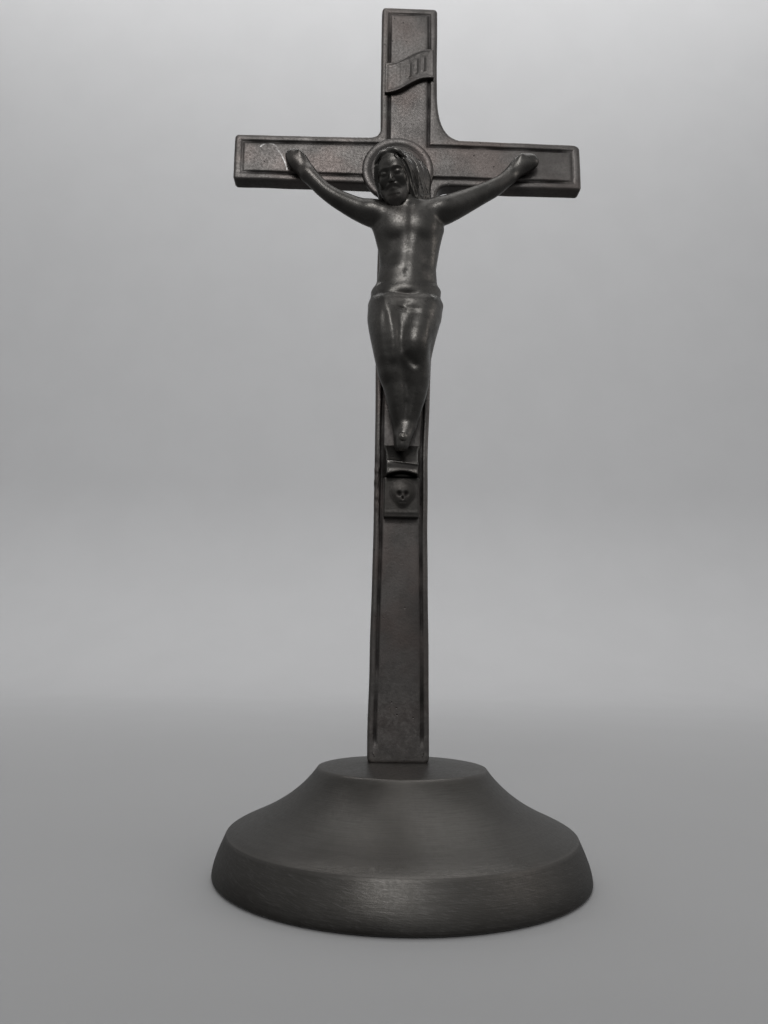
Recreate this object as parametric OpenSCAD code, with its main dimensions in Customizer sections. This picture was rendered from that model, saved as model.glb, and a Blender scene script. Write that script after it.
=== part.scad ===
// Standing crucifix in cast pewter: a Latin cross tenoned into a round turned foot, with a figure,
// a nimbus, a scroll, a footrest and a skull panel fixed to its front.
// Millimetres. +Z is up, the front faces -Y, and the origin is the centre of the underside.

/* [Foot] */
// Diameter of the foot at its rim
base_d = 95; // [90:1:100]
// Height of the edge of the foot's top above the table
base_h = 25.6; // [24:0.2:28]
// Diameter of the flat top
base_top_d = 44; // [40:1:48]
// Rise of the top from its edge to the seat of the stem
base_crown = 1.2; // [0:0.2:1.6]
// Height of the sharp edge where the flare meets the band
shoulder_h = 10.2; // [9.4:0.2:11.4]
// Thickness of the foot's wall
wall = 3.2; // [2.6:0.2:3.6]

/* [Cross] */
// Height of the whole object
total_h = 256; // [250:1:262]
// Length of the crossbar
bar_span = 105.4; // [102:0.2:110]
// Height of the crossbar's centre line
bar_z = 201.5; // [200:0.5:203]
// Width of the crossbar
bar_w = 15.6; // [15:0.2:17]
// Width of the stem at its top end
stem_top_w = 17.6; // [16.8:0.2:18.4]
// Width of the stem where it meets the foot
stem_foot_w = 16.2; // [15.6:0.2:17]
// How much narrower the stem is at its slimmest
stem_waist = 1.8; // [0:0.2:2]
// Thickness of the cross, front to back
cross_t = 4.6; // [4.4:0.1:5.2]
// Radius of the fillets in three of the corners of the cross
fillet_r = 3.5; // [3:0.5:5]
// Height of the longer fillet, between the upper arm and the right arm
fillet_h = 15; // [4:1:18]
// Width of the plain border outside the engraved line
border_w = 2; // [1.6:0.1:2.4]
// Width of the engraved line
groove_w = 1.3; // [1:0.1:1.5]
// Depth of the engraved line
groove_depth = 0.7; // [0.4:0.1:1]

/* [Ornaments] */
// Height of the figure from its soles to the crown of its head
figure_h = 90; // [88:0.5:91]
// Height of the figure's soles above the table
figure_z = 110.4; // [110:0.2:111]
// Radius of the nimbus
nimbus_r = 10.8; // [10:0.1:11.4]
// Height of the nimbus's centre
nimbus_z = 198; // [197:0.2:198.6]
// Width of the scroll
scroll_w = 15.4; // [14:0.2:16]
// Height of the scroll's centre
scroll_z = 232.3; // [228:0.5:238]
// Width of the skull panel and of the footrest's front
panel_w = 9.8; // [9:0.1:10.2]
// Height of the skull panel's lower edge
panel_z = 91; // [88:0.5:92]

/* [Hidden] */
$fn = 96;

PEWTER = "#5c5957";
DARK_PEWTER = "#474543";
STEEL = "silver";
CLEAR = 0.02; // gap left between seated metal pieces, so that they touch without sharing volume
EPS = 0.01;

face_y = -cross_t / 2;
back_y = cross_t / 2;
base_r = base_d / 2;
base_top_r = base_top_d / 2;
shoulder_r = base_r - 3.1;

// Underside: felt below a pressed-in plate, both in a rebate of the rim
felt_t = 1.2;
felt_proud = 0.4;
plate_t = 1.2;
rebate_r = base_r - 4.2;
plate_top = felt_t + plate_t;
seat_z = base_h + base_crown;
seat_r = 9.5;
cavity_top = base_h - wall - 0.2;

// The stem is slimmest at waist_z and has its full width waist_reach above and below
waist_z = 100;
waist_reach = 75;

// Tenon, its screw and its washers
tenon_w = 10;
tenon_z = cavity_top + 0.3; // its end stops short of the cavity, so the washer pulls on the foot
screw_r = 1.5;
screw_l = 14;
washer_t = 1.5;
lock_t = 0.8;
head_h = 2.4;

// Pins and pegs
hand_pin_r = 1;
back_pin_r = 1.3;
nail_r = 0.8;
nail_head_r = 1.25;
peg_r = 0.9;
peg_l = 1.6;
pin_head_h = 1;

// Figure, in units of figure_h / 90, from the centre of the soles
unit = figure_h / 90;
hand_l = [-33.4, 0, 88.6];
hand_r = [34.8, 0, 89.4];
back_pin_at = [0, 0, 64];
nail_at = [-0.3, 0, 3.2];
nail_seat = 6.9 * unit; // distance of the nail head's seat from the cross

// Ornaments
nimbus_t = 1.4;
footrest_z = panel_z + 11.5; // lower edge of the footrest, just above the skull panel
footrest_h = 10;
footrest_d = 5.2;

function lerp(a, b, t) = a + (b - a) * t;
function bezier(p, t) =
    pow(1 - t, 3) * p[0] + 3 * pow(1 - t, 2) * t * p[1] + 3 * (1 - t) * t * t * p[2] + t * t * t * p[3];
function curve(p, n) = [for (i = [0:n]) bezier(p, i / n)];
// A point of the figure in the part's frame
function fig(p) = [p[0] * unit, face_y + p[1] * unit, figure_z + p[2] * unit];

// ---------- foot ----------

// The flare from the flat top down to the shoulder, hollow and then rounding over, moved inwards and down
function flare(in, down, n) =
    let (turn = [shoulder_r - 4.4 - in, shoulder_h + 2.3 - down])
    concat(
        curve([[base_top_r - in, base_h - down], [base_top_r + 4.5 - in, base_h - 6.4 - down],
            turn + [-7, 3], turn], n),
        [for (i = [1:4]) bezier([turn, turn + [1.8, -0.8], turn + [3.4, -1.5],
            [shoulder_r - in, shoulder_h - down]], i / 4)]);

// The band below the shoulder, slightly convex
function band() = [
    [shoulder_r, shoulder_h],
    [lerp(shoulder_r, base_r, 0.45), shoulder_h * 0.7],
    [base_r, shoulder_h * 0.35],
    [base_r, felt_proud]];

module base_shell() {
    cavity = concat(flare(wall, wall + 0.2, 14), [[shoulder_r - wall, plate_top], [0, plate_top]]);
    color(PEWTER) difference() {
        rotate_extrude() polygon(concat([[0, seat_z], [seat_r, seat_z]], flare(0, 0, 20),
            [for (i = [1:8]) bezier(band(), i / 8)], [[0, felt_proud]]));
        rotate_extrude() polygon(concat([[0, cavity_top]], cavity));
        translate([0, 0, -EPS]) cylinder(r = rebate_r, h = plate_top + 2 * EPS);
        translate([0, 0, base_h]) cube([tenon_w + 2 * CLEAR, cross_t + 2 * CLEAR, 4 * wall], center = true);
    }
}

module base_plate() {
    color("dimgray") translate([0, 0, felt_t]) cylinder(r = rebate_r - CLEAR, h = plate_t);
}

module felt_pad() {
    color("#23282a") cylinder(r = rebate_r - 0.3, h = felt_t);
}

// A flat ring under the foot's top, with its upper face at z
module ring(r_out, r_in, t, z) {
    translate([0, 0, z - t]) difference() {
        cylinder(r = r_out, h = t);
        translate([0, 0, -EPS]) cylinder(r = r_in, h = t + 2 * EPS);
    }
}

module clamp_washer() {
    color(STEEL) ring(8, screw_r + 0.1, washer_t, cavity_top);
}

module lock_washer() {
    color(STEEL) difference() {
        ring(3, screw_r + 0.1, lock_t, cavity_top - washer_t);
        translate([screw_r, -0.3, cavity_top - washer_t - lock_t - EPS]) cube([3, 0.6, lock_t + 2 * EPS]);
    }
}

module fixing_screw() {
    head_z = cavity_top - washer_t - lock_t - head_h;
    color(STEEL) difference() {
        union() {
            translate([0, 0, head_z]) cylinder(r = 2.8, h = head_h);
            translate([0, 0, head_z]) cylinder(r = screw_r, h = head_h + screw_l);
        }
        translate([-3, -0.4, head_z - EPS]) cube([6, 0.8, 1.2]);
    }
}

// ---------- cross ----------

// Half the stem's width at height z
function stem_half_w(z) =
    let (off = min(abs(z - waist_z) / waist_reach, 1))
    (lerp(stem_foot_w, stem_top_w, (z - seat_z) / (total_h - seat_z)) - stem_waist * (1 + cos(off * 180)) / 2) / 2;

// The stem's outline, inset from the real edge by d
module stem_2d(d) {
    n = 32;
    side = [for (i = [0:n]) let (z = lerp(seat_z + d, total_h - d, i / n)) [stem_half_w(z) - d, z]];
    polygon(concat(side, [for (i = [n:-1:0]) [-side[i][0], side[i][1]]]));
}

module bar_2d(d) {
    translate([-bar_span / 2 + d, bar_z - bar_w / 2 + d]) square([bar_span - 2 * d, bar_w - 2 * d]);
}

module fillets_2d() {
    for (side = [-1, 1], up = [-1, 1]) {
        h = side > 0 && up > 0 ? fillet_h : fillet_r;
        w = side > 0 && up > 0 ? fillet_h * 0.45 : fillet_r;
        z = bar_z + up * (bar_w / 2 - 0.1);
        x = stem_half_w(z + up * h) - 0.1;
        difference() {
            translate([side > 0 ? x : -x - w, up > 0 ? z : z - h]) square([w, h]);
            translate([side * (x + w), z + up * h]) scale([w, h]) circle(r = 1);
        }
    }
}

// Extrudes an outline drawn in X and Z from y = y0 back to y = y1
module upright(y0, y1) {
    translate([0, y1, 0]) rotate([90, 0, 0]) linear_extrude(y1 - y0) children();
}

// A round hole or pin along Y at [x, z]
module bore_y(at, r, y0, y1) {
    translate([at[0], y1, at[2]]) rotate([90, 0, 0]) cylinder(r = r, h = y1 - y0);
}

module engraved_line() {
    module ring_2d(d) {
        stem_2d(d);
        bar_2d(d);
    }
    // The line stays open at the foot of the stem
    upright(face_y - EPS, face_y + groove_depth) difference() {
        ring_2d(border_w);
        ring_2d(border_w + groove_w);
        translate([-stem_foot_w / 2, seat_z]) square([stem_foot_w, 5.2]);
    }
}

function nimbus_at() = [-3.2, 0, nimbus_z];
function scroll_pegs() = [[-4.5, 0, scroll_z - 1.7], [4.5, 0, scroll_z + 1.7]];
function panel_peg() = [0, 0, panel_z + 7.2];
function footrest_pegs() = [[-3, 0, footrest_z + 4], [3, 0, footrest_z + 4]];
function all_pegs() = concat([nimbus_at(), panel_peg()], scroll_pegs(), footrest_pegs());

module cross() {
    color(PEWTER) difference() {
        union() {
            upright(face_y, back_y) stem_2d(0);
            upright(face_y, back_y) bar_2d(0);
            upright(face_y, back_y) fillets_2d();
            translate([-tenon_w / 2, face_y, tenon_z])
                cube([tenon_w, cross_t, seat_z + EPS - tenon_z]);
        }
        engraved_line();
        translate([0, 0, tenon_z - EPS]) cylinder(r = screw_r + CLEAR, h = screw_l);
        for (p = [fig(hand_l), fig(hand_r)]) pin_seat(p, hand_pin_r);
        pin_seat(fig(back_pin_at), back_pin_r);
        bore_y(fig(nail_at), nail_r + CLEAR, face_y - EPS, back_y + EPS);
        for (p = all_pegs()) bore_y(p, peg_r + CLEAR, face_y - EPS, face_y + peg_l + 0.2);
    }
}

// A hole through the cross for a pin of radius r, with its countersink in the back
module pin_seat(at, r) {
    bore_y(at, r + CLEAR, face_y - EPS, back_y + EPS);
    translate([at[0], back_y + EPS, at[2]]) rotate([90, 0, 0])
        cylinder(r1 = r + pin_head_h + CLEAR, r2 = r + CLEAR, h = pin_head_h);
}

// ---------- figure ----------

// A tapering limb between two points, round at both ends
module limb(a, ra, b, rb) {
    hull() {
        translate(fig(a)) sphere(r = ra * unit, $fn = 20);
        translate(fig(b)) sphere(r = rb * unit, $fn = 20);
    }
}

// A chain of limbs through points given as [point, radius]
module chain(p) {
    for (i = [1:len(p) - 1]) limb(p[i - 1][0], p[i - 1][1], p[i][0], p[i][1]);
}

// An ellipsoid with half-sizes given by size
module lump(at, size, tilt = [0, 0, 0]) {
    translate(fig(at)) rotate(tilt) scale(size * unit) sphere(r = 1, $fn = 24);
}

module arms() {
    chain([[[0, -5, 70.6], 4.8], [[-10.7, -4, 71], 3.9], [[-15.2, -3.7, 72.8], 3.3], [[-25.1, -2.9, 78.7], 2.4],
        [[-30, -2.5, 84.2], 2.6], [[-33.4, -2.1, 88.8], 3], [[-35.4, -2, 90.6], 2.5]]);
    chain([[[0, -5, 70.6], 4.8], [[9.2, -4, 72], 3.9], [[13.7, -3.7, 74.4], 3.5], [[25.5, -2.9, 81.2], 2.5],
        [[30.1, -2.5, 85.4], 2.3], [[34.5, -2.1, 89.6], 3], [[37, -2, 90.8], 2.5]]);
    // Thumbs, and the muscles that run from the arms into the chest
    limb([-32.4, -2.6, 88.6], 1.4, [-31.8, -3.2, 91], 1);
    limb([32.8, -2.6, 89.2], 1.4, [32.6, -3.2, 91.4], 1);
    for (side = [-1, 1]) limb([side * 7.2, -4.2, 61], 2.2, [side * 9.2, -4.4, 69.4], 2.8);
}

module legs() {
    chain([[[-5.2, -4.4, 40], 5.4], [[-4.7, -6, 30.5], 4.5], [[-3.2, -4.8, 17], 3.3], [[-1.4, -3, 7], 2.3],
        [[-1.4, -3.4, 1.5], 1.7]]);
    chain([[[4.4, -4.4, 40], 5.4], [[1.6, -7.6, 31], 4.5], [[2.4, -4.8, 18], 3.4], [[0.7, -4, 7.4], 2.4],
        [[-0.2, -5.2, 1.8], 2]]);
}

module torso() {
    // Waist, belly and ribcage
    hull() {
        lump([0, -4.4, 66], [9.2, 5, 7.5]);
        lump([0, -3.8, 56], [8.2, 4.2, 5]);
    }
    hull() {
        lump([0, -3.8, 56], [8.2, 4.2, 5]);
        lump([-0.4, -4, 42], [10, 5, 6]);
    }
    lump([-0.4, -5.4, 51.5], [5.6, 3.8, 5.6]);
    for (side = [-1, 1]) {
        lump([side * 4.2, -6.6, 67.6], [4.4, 3.1, 3.6]);
        lump([side * 5.4, -5.4, 61], [3.6, 3, 4.4]);
    }
}

module loincloth() {
    hull() {
        lump([-0.4, -4.2, 44.6], [10.1, 5.2, 3]);
        lump([-1, -4.8, 37], [10.2, 5.4, 4]);
    }
    hull() {
        lump([-1, -4.8, 37], [10.2, 5.4, 4]);
        lump([-1.1, -5.2, 27], [8, 4.4, 3]);
    }
    // Rolled waistband, in two turns
    lump([-0.4, -4.2, 46.2], [9.7, 6, 1.3], [0, 1.5, 0]);
    lump([-0.5, -4.2, 43.2], [9.9, 6.3, 1.1], [0, -2, 0]);
    // Folds falling from the knot
    limb([-2.4, -9.6, 40.6], 1.2, [-5.6, -9.2, 35], 0.8);
    limb([-2.4, -9.6, 40.6], 1.1, [-3.4, -10, 31.4], 0.8);
    limb([-1.8, -9.6, 40.4], 1.1, [5.2, -8.8, 41.2], 0.7);
    limb([-8, -6.6, 42], 0.9, [-7.2, -7, 29], 0.6);
    limb([6.8, -7, 42], 0.9, [4.8, -7.8, 30], 0.6);
}

// The head in its own frame: origin at its centre, face towards -Y
module head() {
    module egg(at, size) {
        translate(at) scale(size) sphere(r = 1, $fn = 24);
    }
    module lock(a, ra, b, rb) {
        hull() {
            translate(a) sphere(r = ra, $fn = 16);
            translate(b) sphere(r = rb, $fn = 16);
        }
    }
    translate(fig([-4.1, -7.8, 80.6])) rotate([20, 3, -14]) scale(unit) {
        difference() {
            egg([0, -0.8, 0], [4.6, 5, 6.2]);
            for (side = [-1, 1]) egg([side * 1.7, -5.9, 0.5], [1.1, 1.1, 0.8]);
        }
        // Nose and closed lids
        lock([0, -5.4, 1], 0.45, [0, -6.3, -1.5], 0.65);
        for (side = [-1, 1]) egg([side * 1.7, -4.9, 0.5], [0.95, 0.7, 0.6]);
        // Beard
        egg([0, -3.6, -5], [3.2, 2.7, 2.9]);
        // Hair, parted in the middle and falling behind the shoulders
        egg([0, 1, 1.6], [5.9, 5.6, 6.2]);
        for (side = [-1, 1]) {
            lock([side * 2, -4, 5], 1.5, [side * 4.6, -2.4, 0.4], 1.7);
            lock([side * 4.6, -2.4, 0.4], 1.7, [side * 4.9, -0.6, -5], 1.6);
            lock([side * 4.9, -0.6, -5], 1.6, [side * 6.2, 1.4, -8.4], 1.1);
        }
    }
    limb([0, -5.2, 70], 3.8, [-2.4, -6, 76], 3.6);
}

module corpus() {
    color(DARK_PEWTER) difference() {
        union() {
            torso();
            arms();
            legs();
            loincloth();
            head();
        }
        // The back is flat against the cross, and cleared for the nimbus and the footrest
        translate([-60, face_y - CLEAR, figure_z - 10]) cube([120, 20, 120]);
        bore_y(nimbus_at(), nimbus_r + 0.1, face_y - nimbus_t - CLEAR, face_y);
        footrest_wedge(CLEAR, 2 * panel_w);
        lump([-2.4, -11.2, 39.2], [2.2, 1.6, 0.9]);
        for (p = [fig(hand_l), fig(hand_r)]) bore_y(p, hand_pin_r + 0.05, face_y - 1.9, face_y);
        bore_y(fig(back_pin_at), back_pin_r + 0.05, face_y - 4.1, face_y);
        bore_y(fig(nail_at), nail_r + 0.05, face_y - 12, face_y);
        bore_y(fig(nail_at), nail_head_r + 0.1, face_y - 12, face_y - nail_seat);
    }
}

// A pin driven in from the back, with a countersunk head and reaching into the figure by depth
module corpus_pin(at, r, depth) {
    color(STEEL) union() {
        bore_y(at, r, face_y - depth, back_y - pin_head_h);
        translate([at[0], back_y, at[2]]) rotate([90, 0, 0])
            cylinder(r1 = r + pin_head_h, r2 = r, h = pin_head_h + EPS);
    }
}

module foot_nail() {
    at = fig(nail_at);
    head_y = face_y - nail_seat;
    dome = 1.4; // radius of the sphere that the head is cut from
    color(STEEL) union() {
        bore_y(at, nail_r, head_y, back_y);
        intersection() {
            translate([at[0], head_y + sqrt(dome * dome - nail_head_r * nail_head_r), at[2]]) sphere(r = dome);
            bore_y(at, 2, head_y - dome, head_y);
        }
    }
}

// ---------- ornaments ----------

module peg(at) {
    bore_y(at, peg_r, face_y - 0.3, face_y + peg_l);
}

module nimbus() {
    rim_w = 1.3;
    color(PEWTER) union() {
        translate([nimbus_at()[0], face_y - CLEAR, nimbus_z]) rotate([90, 0, 0])
            rotate_extrude() polygon([[0, 0], [nimbus_r, 0], [nimbus_r, 0.9], [nimbus_r - 0.4, nimbus_t],
                [nimbus_r - rim_w + 0.3, nimbus_t], [nimbus_r - rim_w, 0.9], [0, 0.9]]);
        peg(nimbus_at());
    }
}

module titulus() {
    half_h = 5.2;
    rise = 2.7;
    n = 16;
    // Upper and lower edges follow the same S-shaped wave
    function wave(t) = rise * t + 0.9 * sin(t * 180);
    function edge(up) = [for (i = [-n:n]) [i / n * scroll_w / 2, scroll_z + up * half_h + wave(i / n)]];
    color(PEWTER) union() {
        upright(face_y - 1.1, face_y - CLEAR)
            polygon(concat(edge(-1), [for (p = [len(edge(1)) - 1:-1:0]) edge(1)[p]]));
        for (p = scroll_pegs()) peg(p);
    }
}

// The footrest's sloping block, w wide, with its front and its slope moved outwards by grow
module footrest_wedge(grow, w) {
    top = footrest_z + footrest_h + grow;
    front = face_y - footrest_d - grow;
    translate([-w / 2, 0, 0]) rotate([90, 0, 90]) linear_extrude(w)
        polygon([[face_y - CLEAR + grow, top], [front, top - 6.4], [front, footrest_z],
            [face_y - CLEAR + grow, footrest_z]]);
}

module footrest() {
    color(DARK_PEWTER) union() {
        difference() {
            footrest_wedge(0, panel_w);
            // The front's lower edge is a shallow arch
            translate([0, face_y - 2.6, footrest_z - 7.2]) rotate([90, 0, 0]) cylinder(r = 8, h = footrest_d);
            // The sides draw in towards the front
            for (side = [-1, 1]) translate([side * panel_w / 2, face_y - footrest_d, footrest_z - EPS])
                rotate([0, 0, 45]) translate([-0.8, -0.8, 0]) cube([1.6, 1.6, footrest_h + 1]);
        }
        for (p = footrest_pegs()) peg(p);
    }
}

module skull_panel() {
    panel_h = 11.45;
    panel_t = 2.4;
    skull_z = panel_z + 6.6;
    front = face_y - panel_t;
    module bump(at, size) {
        translate([at[0], front + at[1], skull_z + at[2]]) scale(size) sphere(r = 1, $fn = 32);
    }
    color(DARK_PEWTER) union() {
        upright(front, face_y - CLEAR) translate([-panel_w / 2, panel_z]) square([panel_w, panel_h]);
        difference() {
            union() {
                bump([0.3, 0.2, 0.8], [2.9, 1.9, 2.7]);
                bump([0.3, 0.2, -1.8], [1.8, 1.4, 2]);
            }
            for (side = [-1, 1]) bump([0.3 + side * 1.15, -1.6, -0.1], [0.75, 0.8, 0.8]);
        }
        peg(panel_peg());
    }
}

base_shell();
base_plate();
felt_pad();
clamp_washer();
lock_washer();
fixing_screw();
cross();
corpus();
corpus_pin(fig(hand_l), hand_pin_r, 1.8);  // corpus_pin_left_hand
corpus_pin(fig(hand_r), hand_pin_r, 1.8);  // corpus_pin_right_hand
corpus_pin(fig(back_pin_at), back_pin_r, 4);  // corpus_pin_back
foot_nail();
nimbus();
titulus();
footrest();
skull_panel();
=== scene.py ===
"""Looks for the standing crucifix. Lengths in the helpers are millimetres; objects are built in metres."""
import functools
import math

import bmesh
import bpy
import numpy as np
import openvdb
from mathutils import Matrix, Vector


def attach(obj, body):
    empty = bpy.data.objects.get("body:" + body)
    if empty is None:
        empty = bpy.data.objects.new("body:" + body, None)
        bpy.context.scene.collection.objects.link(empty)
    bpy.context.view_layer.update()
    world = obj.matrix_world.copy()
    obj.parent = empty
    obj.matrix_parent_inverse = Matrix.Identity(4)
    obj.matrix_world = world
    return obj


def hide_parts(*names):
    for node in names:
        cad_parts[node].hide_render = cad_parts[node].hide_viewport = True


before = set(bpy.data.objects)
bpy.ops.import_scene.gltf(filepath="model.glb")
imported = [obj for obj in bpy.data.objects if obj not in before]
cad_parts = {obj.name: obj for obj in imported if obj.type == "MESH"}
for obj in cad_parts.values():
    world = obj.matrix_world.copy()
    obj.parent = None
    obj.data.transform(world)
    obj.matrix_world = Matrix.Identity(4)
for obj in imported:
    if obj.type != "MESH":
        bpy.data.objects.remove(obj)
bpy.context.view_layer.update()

MM = 0.001                             # metres in a millimetre
PER_M = 1000.0                         # millimetres in a metre, for material coordinates
FINE = 1.0      # coarser grids while trying things

FACE_Y, BACK_Y = -2.3, 2.3             # the cross's front and back
BAR_LOW, BAR_TOP, BAR_HALF = 193.7, 209.6, 52.7
SEAT_Z, STEM_TOP = 26.8, 256.1         # the foot's flat top, and the cross's top
STEM_FOOT = SEAT_Z - 0.4
NIMBUS_X, NIMBUS_Z, NIMBUS_R = -3.2, 198.0, 10.8
TOUCH = 0.02                           # how far pieces sink into what they are fixed to


# ---- mesh helpers

def add_mesh(name, points_mm, faces):
    """A smooth-shaded mesh object, its faces turned outwards."""
    mesh = bpy.data.meshes.new(name)
    mesh.from_pydata((np.asarray(points_mm) * MM).tolist(), [], faces)
    mesh.validate()
    obj = bpy.data.objects.new(name, mesh)
    bpy.context.scene.collection.objects.link(obj)
    bm = bmesh.new()
    bm.from_mesh(mesh)
    bmesh.ops.recalc_face_normals(bm, faces=bm.faces)
    bm.to_mesh(mesh)
    bm.free()
    mesh.polygons.foreach_set("use_smooth", [True] * len(mesh.polygons))
    return obj


def loft(name, rings):
    """Closed rings of equal length, each an (n, 3) array, joined by quads and capped."""
    n = len(rings[0])
    points = np.vstack(rings)
    faces = []
    for k in range(len(rings) - 1):
        a, b = k * n, (k + 1) * n
        faces += [(a + i, a + (i + 1) % n, b + (i + 1) % n, b + i) for i in range(n)]
    faces += [tuple(range(n)), tuple(range(len(points) - n, len(points)))]
    return add_mesh(name, points, faces)


def lathe(name, profile, segments, centre=(0, 0, 0), axis="z"):
    """Turns a profile of (radius, height) points; one that starts and ends on the axis is closed."""
    profile = np.asarray(profile, float)
    turn = np.linspace(0, 2 * np.pi, segments, endpoint=False)
    rings = []
    for r, h in profile:
        x, y, z = r * np.cos(turn), r * np.sin(turn), np.full(segments, h)
        ring = np.stack([x, y, z] if axis == "z" else [x, -z, y], 1)
        rings.append(ring + np.asarray(centre))
    return loft(name, rings)


def points_of(obj):
    """An object's points in millimetres, (n, 3)."""
    co = np.empty(len(obj.data.vertices) * 3, np.float32)
    obj.data.vertices.foreach_get("co", co)
    return co.reshape(-1, 3) / MM


def move_points(obj, points_mm):
    obj.data.vertices.foreach_set("co", (points_mm * MM).ravel())


def bezier(p, n):
    """n points along the cubic curve with the four control points p."""
    t = np.linspace(0, 1, n)[:, None]
    p = np.asarray(p, float)
    return (1 - t) ** 3 * p[0] + 3 * (1 - t) ** 2 * t * p[1] + 3 * (1 - t) * t ** 2 * p[2] + t ** 3 * p[3]


def wobble(points, size, scale):
    """Smooth uneven offsets, the same for the same place, from a few crossed sine waves."""
    p = np.asarray(points) / scale
    out = np.zeros_like(p)
    for k, (a, b, c) in enumerate([(1.0, 0.6, 0.3), (-0.5, 1.1, 0.8), (0.7, -0.9, 1.3), (1.9, 1.4, -1.1)]):
        phase = p[:, 0] * a + p[:, 1] * b + p[:, 2] * c + k * 1.7
        out[:, 0] += np.sin(phase * 2.1 + 0.4)
        out[:, 1] += np.sin(phase * 1.7 + 2.2)
        out[:, 2] += np.sin(phase * 2.6 + 4.1)
    return out * size / 4


def bell(off, width):
    """1 where off is 0, falling away to nothing over about twice the width."""
    return np.exp(-(off / width) ** 2)


def spline(points, per_span):
    """More points on a smooth curve through the given ones."""
    p = np.vstack([2 * points[0] - points[1], points, 2 * points[-1] - points[-2]])
    out = []
    for i in range(1, len(p) - 2):
        for t in np.arange(per_span) / per_span:
            out.append(0.5 * (2 * p[i] + (p[i + 1] - p[i - 1]) * t
                              + (2 * p[i - 1] - 5 * p[i] + 4 * p[i + 1] - p[i + 2]) * t ** 2
                              + (3 * p[i] - p[i - 1] - 3 * p[i + 1] + p[i + 2]) * t ** 3))
    return np.array(out + [points[-1]])


def lean(z):
    """The casting is bent a little: how far its middle line stands from x = 0 at height z."""
    bend_from, bend_height, at_foot = 98.0, 105.0, -1.15
    t = np.clip((z - bend_from) / bend_height, 0, 1)
    return at_foot * (1 - t * t * (3 - 2 * t))


def leaning(points):
    """Points moved sideways with the bent stem."""
    return points + np.stack([lean(points[:, 2]), 0 * points[:, 0], 0 * points[:, 0]], 1)


# ---- distance fields

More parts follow.
